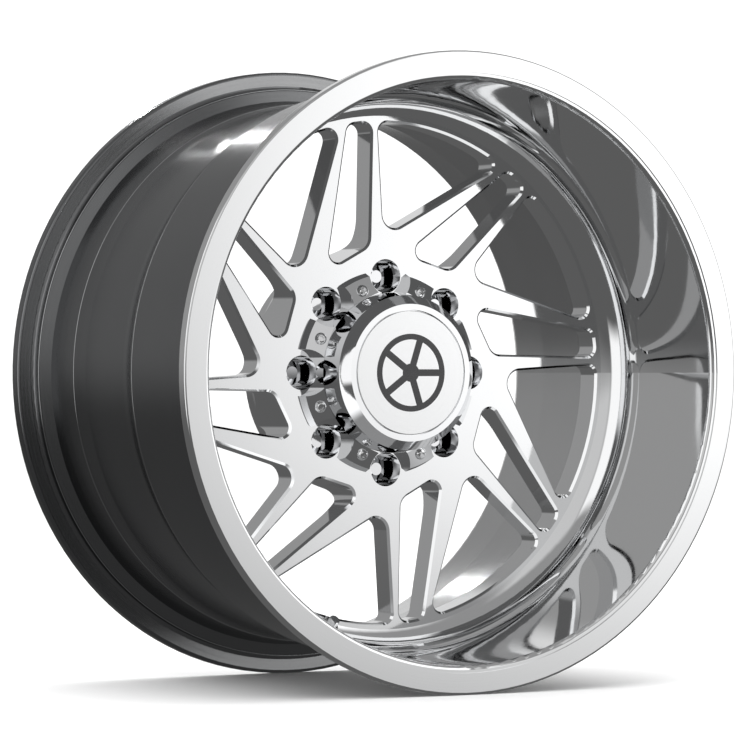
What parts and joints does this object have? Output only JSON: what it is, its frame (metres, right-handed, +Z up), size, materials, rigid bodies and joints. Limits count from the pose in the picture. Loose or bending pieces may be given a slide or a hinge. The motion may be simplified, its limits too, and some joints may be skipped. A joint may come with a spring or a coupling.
{
  "type": "forged racing wheel rim",
  "caption": "Deep-lip forged wheel: barrel, slotted spoke centre, bolted toothed collar with hub cap, closed lug nuts and clamp-in tyre valve.",
  "frame": {"origin": "middle of the wheel: on its axis, halfway between the two outer flange faces", "axes": "+Y along the wheel's axis towards the vehicle, +Z up, +X to the right of someone facing the show side"},
  "size_m": [0.5493, 0.328, 0.5494],
  "materials": {
    "barrel_metal": "smoked satin outside, mirror polished lip",
    "polished_metal": "mirror polished",
    "weld_metal": "as welded",
    "mirror_chrome": "mirror",
    "satin_plate": "fine satin",
    "emblem_black": "gloss",
    "black_rubber": "matt",
    "screw_steel": "bright",
    "nut_chrome": "dark chrome",
    "valve_metal": "nickel plated",
    "core_brass": "machined",
    "spring_steel": "drawn wire"
  },
  "bodies": {
    "wheel": {"barrel": "barrel_metal", "spoke_centre": "polished_metal", "weld_bead": "weld_metal", "cap_collar": "mirror_chrome", "cap_body": "mirror_chrome", "cap_face_plate": "satin_plate", "cap_emblem": "emblem_black", "cap_seal": "black_rubber", "collar_screws": "screw_steel", "valve_stem": "valve_metal", "valve_grommet": "black_rubber", "valve_washer": "valve_metal", "valve_nut": "valve_metal", "valve_core_body": "core_brass", "valve_core_gasket": "black_rubber"},
    "nut_1": {"lug_nut_1": "nut_chrome"},
    "nut_2": {"lug_nut_2": "nut_chrome"},
    "nut_3": {"lug_nut_3": "nut_chrome"},
    "nut_4": {"lug_nut_4": "nut_chrome"},
    "nut_5": {"lug_nut_5": "nut_chrome"},
    "nut_6": {"lug_nut_6": "nut_chrome"},
    "nut_7": {"lug_nut_7": "nut_chrome"},
    "nut_8": {"lug_nut_8": "nut_chrome"},
    "core_pin": {"valve_core_pin": "core_brass", "valve_pin_seal": "black_rubber", "valve_core_spring": "spring_steel"},
    "cap_disc": {"valve_cap_seal": "black_rubber"},
    "dust_cap": {"valve_cap": "nut_chrome"}
  },
  "joints": [
    {"name": "lug_nut_1_turn", "type": "hinge", "parent": "wheel", "child": "nut_1", "pos_m": [0, 0, 0.085], "axis": [0, 1, 0], "continuous": true},
    {"name": "lug_nut_2_turn", "type": "hinge", "parent": "wheel", "child": "nut_2", "pos_m": [0.0601, 0, 0.0601], "axis": [0, 1, 0], "continuous": true},
    {"name": "lug_nut_3_turn", "type": "hinge", "parent": "wheel", "child": "nut_3", "pos_m": [0.085, 0, 0], "axis": [0, 1, 0], "continuous": true},
    {"name": "lug_nut_4_turn", "type": "hinge", "parent": "wheel", "child": "nut_4", "pos_m": [0.0601, 0, -0.0601], "axis": [0, 1, 0], "continuous": true},
    {"name": "lug_nut_5_turn", "type": "hinge", "parent": "wheel", "child": "nut_5", "pos_m": [0, 0, -0.085], "axis": [0, 1, 0], "continuous": true},
    {"name": "lug_nut_6_turn", "type": "hinge", "parent": "wheel", "child": "nut_6", "pos_m": [-0.0601, 0, -0.0601], "axis": [0, 1, 0], "continuous": true},
    {"name": "lug_nut_7_turn", "type": "hinge", "parent": "wheel", "child": "nut_7", "pos_m": [-0.085, 0, 0], "axis": [0, 1, 0], "continuous": true},
    {"name": "lug_nut_8_turn", "type": "hinge", "parent": "wheel", "child": "nut_8", "pos_m": [-0.0601, 0, 0.0601], "axis": [0, 1, 0], "continuous": true},
    {"name": "valve_pin_press", "type": "slide", "parent": "wheel", "child": "core_pin", "axis": [-0.1609, 0.766, -0.6223], "range_m": [0, 0.0012], "stiffness_N_per_m": 300, "springref_m": -0.001},
    {"name": "valve_cap_travel", "type": "slide", "parent": "wheel", "child": "cap_disc", "axis": [0.1609, -0.766, 0.6223], "range_m": [0, 0.0056]},
    {"name": "valve_cap_turn", "type": "hinge", "parent": "cap_disc", "child": "dust_cap", "pos_m": [-0.05714, -0.023, -0.22093], "axis": [0.1609, -0.766, 0.6223], "range_deg": [0, 2541]}
  ],
  "couplings": [
    {"joint": "valve_cap_turn", "follows": "valve_cap_travel", "rad_per_m": 7915.8}
  ]
}
